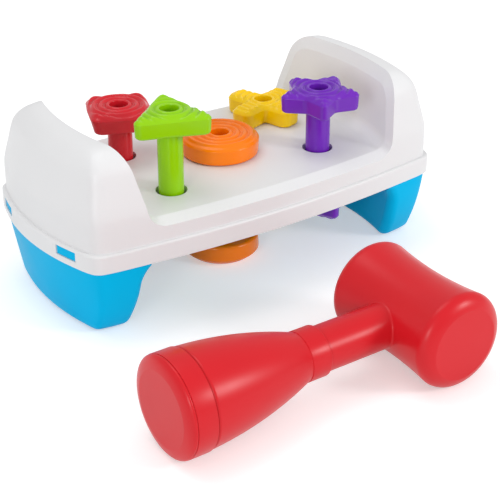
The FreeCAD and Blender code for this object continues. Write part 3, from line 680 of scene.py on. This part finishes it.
def head_radius(y):
    """The barrel's radius at y: it opens from the waist W to the rolled edges at e
    along a parabola, radius = W + (R - W) (y / e)^2."""
    return HEAD_WAIST + (HEAD_RADIUS - HEAD_WAIST) * (y / BARREL_END) ** 2


barrel_y = np.linspace(0, BARREL_END, BARREL_ROWS)
half_profile = np.concatenate([
    np.stack([barrel_y, head_radius(barrel_y)], -1),
    rolled_edge(BARREL_END, HEAD_RADIUS, FACE_ROUNDING, FACE_ROUNDING),
    flat_face(HEAD_HALF, HEAD_RADIUS - FACE_ROUNDING)])
head_profile = np.concatenate([half_profile[:0:-1] * [-1, 1], half_profile])
print("the head is", 2 * HEAD_HALF, "mm long, with", len(head_profile), "rings")

# %% [markdown]
# The shaft leaves the barrel's side through a small moulded fillet. The line where the
# two meet is a saddle, not a circle, so the fillet's foot is laid on the barrel point
# by point; a Boolean and a bevel would leave a rough edge there. A collar ends the
# shaft where it goes into the grip.

# %% The shaft with its fillet and collar
SHAFT = 12.8
SHAFT_START = 16.0  # inside the barrel
FILLET = 1.3
FILLET_SINK = 0.2
FILLET_ROWS = 8
FILLET_END = 34.0  # past the fillet all round
COLLAR_START = 67.7
COLLAR = 14.3
GRIP_START = 79.3
COLLAR_END = GRIP_START + 0.4  # inside the grip
SHAFT_CORE = 4.0
SHAFT_ROUNDINGS = (0.5, 0.6, 0.3)

# The fillet's foot lies on the barrel: x = -sqrt(head_radius(y)^2 - z^2) at each point of
# the ring, and from there a quarter circle of radius F runs over into the shaft.
quarter = np.linspace(0, np.pi / 2, FILLET_ROWS)[:, None]
ring = SHAFT + FILLET * (1 - np.sin(quarter))
ring_y = ring * np.cos(TURN)
ring_z = ring * np.sin(TURN)
foot_x = np.sqrt(head_radius(ring_y) ** 2 - ring_z ** 2) - FILLET_SINK
fillet_rows = np.stack([-(foot_x + FILLET * (1 - np.cos(quarter))), ring_y, ring_z], -1)
shaft_path = rounded_path([(FILLET_END, SHAFT), (COLLAR_START, SHAFT), (COLLAR_START, COLLAR),
                           (COLLAR_END, COLLAR), (COLLAR_END, SHAFT_CORE)], SHAFT_ROUNDINGS)
shaft_grid = np.concatenate([turn_round(np.array([[SHAFT_START, SHAFT]]), "handle"),
                             fillet_rows + HAMMER,
                             turn_round(shaft_path, "handle")])
print("the fillet's foot is", foot_x.min().round(1), "to", foot_x.max().round(1),
      "mm from the head's middle")

# %% [markdown]
# The grip flares towards its end in one long arc, and then comes a band with a narrow
# groove in front of it. Three points on the outline fix the arc's circle. A spline
# through them would do as well, but it could bulge in between.

# %% The grip
BAND_START = 147.6
BAND_END = 159.1
BAND = 28.0
GROOVE = 0.5
GRIP_POINTS = ((GRIP_START, 13.8), (110.0, 22.7), (BAND_START, 27.5))  # distance, radius
GRIP_CORE = 9.0  # end faces run in to this radius, out of sight
FRONT_EDGE = 0.6
FRONT_DROP = 0.1
SLANT = 0.05  # a step's wall leans by this much, so its ends stay apart
FLARE_ROWS = 40
FRONT_ROUNDINGS = (0.5,)
BAND_ROUNDINGS = (0.05, 0.2, 0.35)


def circle_through(points):
    """Centre and radius of the circle through three points: the centre is as far from
    the second and from the third as from the first, which makes two linear equations."""
    (ax, ay), (bx, by), (cx, cy) = points
    rows = np.array([[bx - ax, by - ay], [cx - ax, cy - ay]]) * 2
    squares = np.array([bx ** 2 + by ** 2, cx ** 2 + cy ** 2]) - ax ** 2 - ay ** 2
    centre = np.linalg.solve(rows, squares)
    return centre, math.hypot(ax - centre[0], ay - centre[1])


# The flare is an arc: radius = cy + sqrt(R^2 - (s - cx)^2).
arc_centre, arc_radius = circle_through(GRIP_POINTS)
flare_s = np.linspace(GRIP_START + FRONT_EDGE, BAND_START - GROOVE - SLANT, FLARE_ROWS)
flare_r = arc_centre[1] + np.sqrt(arc_radius ** 2 - (flare_s - arc_centre[0]) ** 2)
groove_floor = flare_r[-1] - GROOVE
grip_profile = np.concatenate([
    rounded_path([(GRIP_START, GRIP_CORE), (GRIP_START, flare_r[0] - FRONT_DROP),
                  (flare_s[0], flare_r[0])], FRONT_ROUNDINGS),
    np.stack([flare_s, flare_r], -1)[1:],
    rounded_path([(BAND_START - GROOVE, groove_floor), (BAND_START, groove_floor),
                  (BAND_START + SLANT, BAND), (BAND_END, BAND), (BAND_END, GRIP_CORE)],
                 BAND_ROUNDINGS)])
print("the grip's arc has a radius of", round(arc_radius, 1), "mm")

# %% [markdown]
# A shallow domed cap closes the grip. Its edge lies a hair inside the band, which
# leaves a fine line between the two. One skin could cover grip and cap, but then that
# line would have to be painted on, and the cap is a part of its own in the CAD.

# %% The end cap
CAP = 4.3
CAP_FACE = 20.8
CAP_INSET = 0.15
CAP_LIP = 0.5
CAP_SEAT = 1.0
CAP_BEVEL = 0.3
CAP_ROUNDINGS = (0.2,)
CAP_EDGE = BAND - CAP_INSET
cap_profile = np.concatenate([
    [[BAND_END, GRIP_CORE]],
    rounded_path([(BAND_END, BAND - CAP_SEAT), (BAND_END + SLANT, CAP_EDGE - CAP_BEVEL),
                  (BAND_END + CAP_LIP, CAP_EDGE)], CAP_ROUNDINGS),
    rolled_edge(BAND_END + CAP_LIP, CAP_EDGE, CAP - CAP_LIP, CAP_EDGE - CAP_FACE),
    flat_face(BAND_END + CAP, CAP_FACE)])
print("the hammer reaches", round(BAND_END + CAP, 1), "mm from its head's middle")

# %% [markdown]
# The four parts could be joined into one mesh, but each stands in for its own CAD node,
# so they can still be told apart. All ride on the one hammer body, because nothing on
# the hammer moves by itself.

# %% Place the hammer's parts
for name, grid in {"head": turn_round(head_profile, "head"), "shaft": shaft_grid,
                   "grip": turn_round(grip_profile, "handle"),
                   "end_cap": turn_round(cap_profile, "handle")}.items():
    piece = solid_piece("hammer_" + name + "_skin", grid)
    finish(piece, hammer_red)
    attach(piece, "hammer")
    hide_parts("hammer_" + name)

# %% [markdown]
# ## Floor, light and camera
#
# The picture is a product shot: pale ground, soft light, hardly any shadow. A shadow
# catcher would do in a picture, but a real floor also throws light back onto the
# object. It is pale, and it gets a little light of its own where the camera or a
# reflection sees it, so it reads as white and still keeps the shadow.

# %% Floor
FLOOR_SIZE = 4.0
FLOOR_GLOW = 0.4
FLOOR_TONE = (0.8, 0.8, 0.8, 1)
FLOOR_ROUGHNESS = 0.9
FLOOR_SHINE = 0.1
WHITE = (1, 1, 1, 1)


def floor_finish():
    """Dull pale ground. Its own light is glow * max(camera ray, glossy ray), so it is
    seen by the camera and in reflections but lights nothing."""
    material = bpy.data.materials.new("studio_floor")
    material.use_nodes = True
    tree = material.node_tree
    shader = tree.nodes["Principled BSDF"]
    shader.inputs["Base Color"].default_value = FLOOR_TONE
    shader.inputs["Roughness"].default_value = FLOOR_ROUGHNESS
    shader.inputs["Specular IOR Level"].default_value = FLOOR_SHINE
    shader.inputs["Emission Color"].default_value = WHITE
    rays = node(tree, "ShaderNodeLightPath")
    either = node(tree, "ShaderNodeMath", operation="MAXIMUM")
    tree.links.new(rays.outputs["Is Camera Ray"], either.inputs[0])
    tree.links.new(rays.outputs["Is Glossy Ray"], either.inputs[1])
    strength = node(tree, "ShaderNodeMath", operation="MULTIPLY")
    strength.inputs[1].default_value = FLOOR_GLOW
    tree.links.new(either.outputs["Value"], strength.inputs[0])
    tree.links.new(strength.outputs["Value"], shader.inputs["Emission Strength"])
    return material


floor_x, floor_y = np.meshgrid([-FLOOR_SIZE, FLOOR_SIZE], [-FLOOR_SIZE, FLOOR_SIZE])
floor_points = np.stack([floor_x.ravel(), floor_y.ravel(), np.zeros(4)], -1) / MM
floor = fill_mesh("studio_floor", floor_points, np.array([[0, 1, 3, 2]]), np.zeros((0, 3), int))
finish(floor, floor_finish())
print("floor:", 2 * FLOOR_SIZE, "m square")

# %% [markdown]
# The room around the object is plain white. One background could do both jobs, but a
# world that looks pure white also lights every shadow away. So the camera sees full
# white, while everything else gets a weaker copy.

# %% World
AMBIENT = 0.66
BACKDROP = 1.0
world = bpy.data.worlds.new("studio_world")
bpy.context.scene.world = world
world.use_nodes = True
tree = world.node_tree
ambient = tree.nodes["Background"]
ambient.inputs["Color"].default_value = WHITE
ambient.inputs["Strength"].default_value = AMBIENT
backdrop = node(tree, "ShaderNodeBackground")
backdrop.inputs["Color"].default_value = WHITE
backdrop.inputs["Strength"].default_value = BACKDROP
rays = node(tree, "ShaderNodeLightPath")
chooser = node(tree, "ShaderNodeMixShader")
tree.links.new(rays.outputs["Is Camera Ray"], chooser.inputs["Fac"])
tree.links.new(ambient.outputs["Background"], chooser.inputs[1])
tree.links.new(backdrop.outputs["Background"], chooser.inputs[2])
tree.links.new(chooser.outputs["Shader"], tree.nodes["World Output"].inputs["Surface"])
print("world: seen at", BACKDROP, "and lighting at", AMBIENT)

# %% [markdown]
# Three softboxes shape the object: one above lifts the tops, one low on the left draws
# the edges of the end walls, and one at the front right puts the long highlights on
# the hammer. A sun would be simpler, but its small disc makes hard shadows.

# %% Softboxes
TARGET = Vector((0.03, 0.06965, -0.0075))
# Where each box stands and how wide it is, in metres, and its power in watts.
SOFTBOXES = {
    "overhead_box": ((-0.2, 0.3, 1.3), 0.7, 3.5),
    "left_box": ((-1.25, -0.85, 0.5), 0.4, 5.0),
    "front_box": ((0.95, -1.3, 0.8), 0.42, 10.0),
}
for name, (place, size, watts) in SOFTBOXES.items():
    lamp = bpy.data.lights.new(name, "AREA")
    lamp.shape = "SQUARE"
    lamp.size = size
    lamp.energy = watts
    holder = bpy.data.objects.new(name, lamp)
    holder.location = place
    holder.rotation_mode = "QUATERNION"
    holder.rotation_quaternion = (TARGET - Vector(place)).to_track_quat("-Z", "Y")
    bpy.context.scene.collection.objects.link(holder)
print("softboxes:", len(SOFTBOXES))

# %% [markdown]
# The camera stands where the photographer's stood: a little under 35 degrees to the
# left of the front, 28 degrees up, with a long lens. It could be turned by eye until
# the picture fits, but the values were solved from the bench's edges in the picture,
# which is 500 pixels square. Its focal length in pixels, as a share of the picture's
# width, is the same share of the sensor's width in millimetres.

# %% Camera
AZIMUTH = math.radians(-34.905)
ELEVATION = math.radians(28.146)
DISTANCE = 0.9062
SENSOR = 36.0
FOCAL_PIXELS = 1391.7
FRAME_PIXELS = 500
back = Vector((math.sin(AZIMUTH) * math.cos(ELEVATION),
               -math.cos(AZIMUTH) * math.cos(ELEVATION), math.sin(ELEVATION)))
camera_data = bpy.data.cameras.new("photo_camera")
camera_data.sensor_width = SENSOR
camera_data.lens = FOCAL_PIXELS / FRAME_PIXELS * SENSOR
camera = bpy.data.objects.new("photo_camera", camera_data)
camera.location = TARGET + back * DISTANCE
camera.rotation_mode = "QUATERNION"
camera.rotation_quaternion = (-back).to_track_quat("-Z", "Y")
bpy.context.scene.collection.objects.link(camera)
bpy.context.scene.camera = camera
bpy.context.scene.view_settings.view_transform = "Standard"
print("camera at", tuple(round(value, 3) for value in camera.location))
